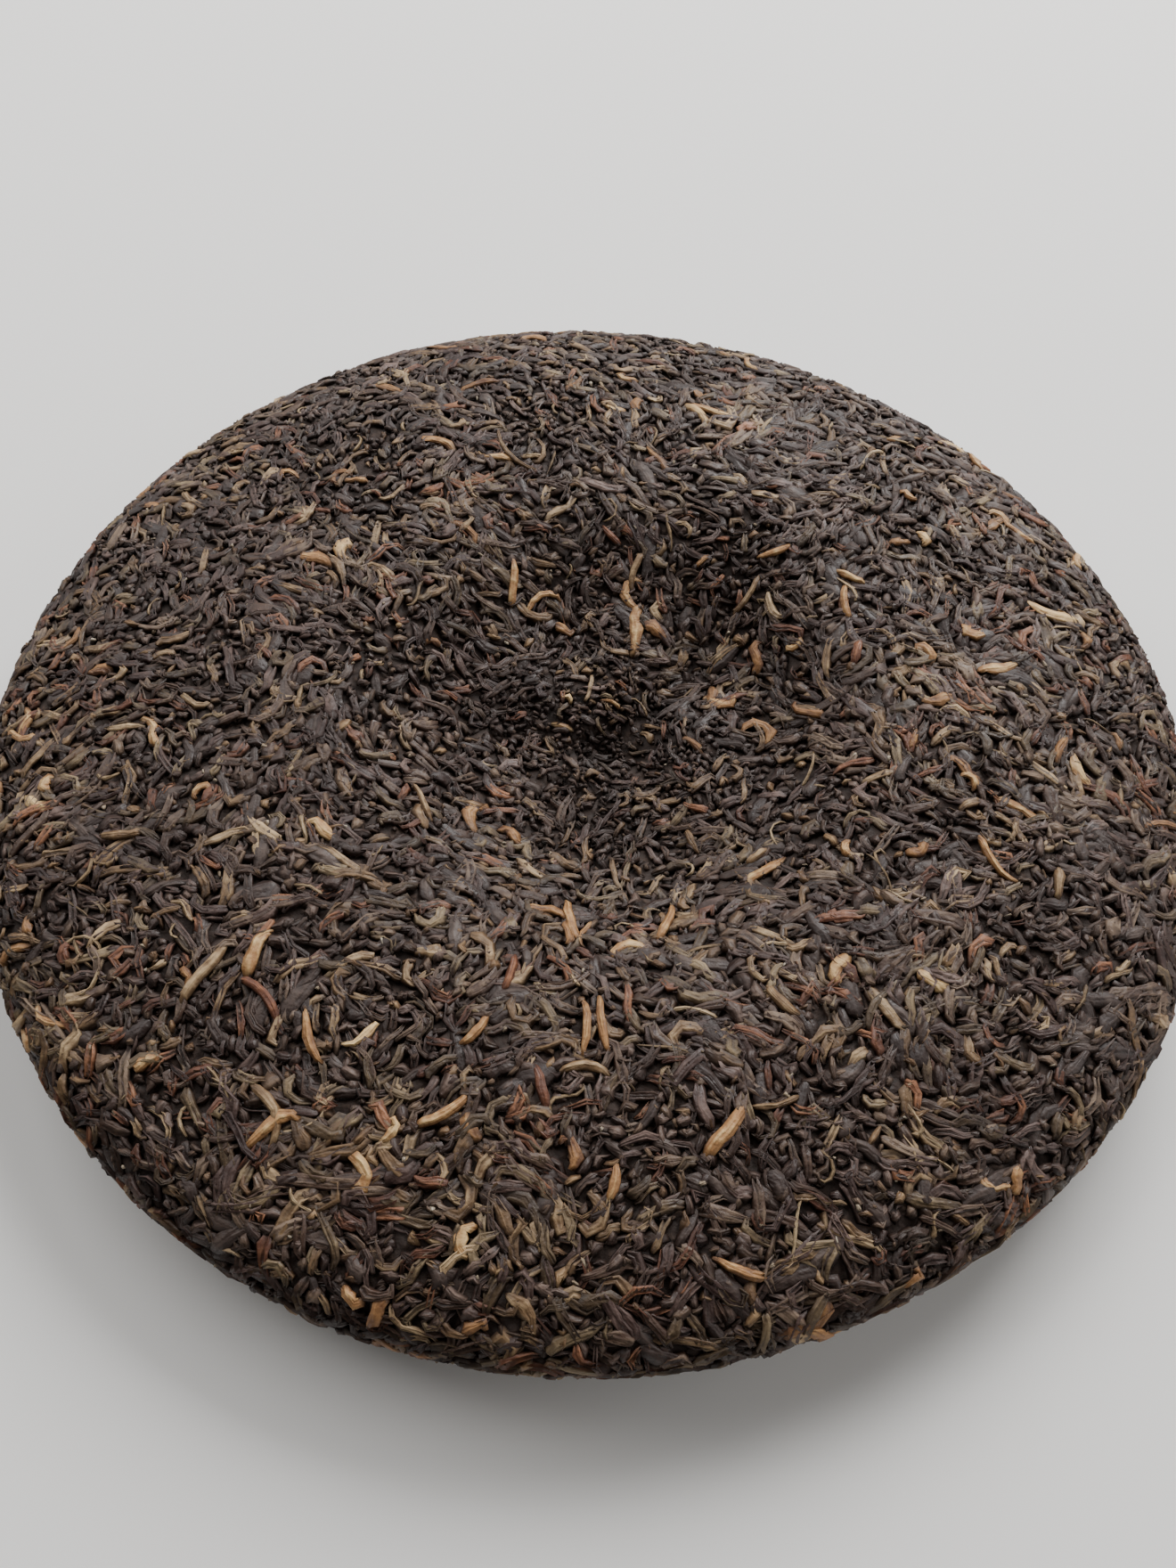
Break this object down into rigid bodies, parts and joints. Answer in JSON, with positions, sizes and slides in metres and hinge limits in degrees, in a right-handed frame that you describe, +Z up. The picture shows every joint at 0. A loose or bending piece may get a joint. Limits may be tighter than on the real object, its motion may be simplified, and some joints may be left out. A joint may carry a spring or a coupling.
{
  "type": "pressed tea cake",
  "caption": "Round pressed cake of dark tea leaves and golden buds, domed below, with a knot hollow in its upper side.",
  "frame": {"origin": "on the table, under the middle of the cake", "axes": "+Z up, out of the hollow side; -Z down, out of the flat spot that the cake lies on; X and Y lie in the table, with +Y away from the picture's camera"},
  "size_m": [0.1956, 0.1958, 0.0264],
  "materials": {
    "tea_leaf": "dry, faintly satin",
    "tea_bud": "dry and matt"
  },
  "bodies": {
    "root": {"tea_cake": "tea_leaf"}
  },
  "joints": []
}
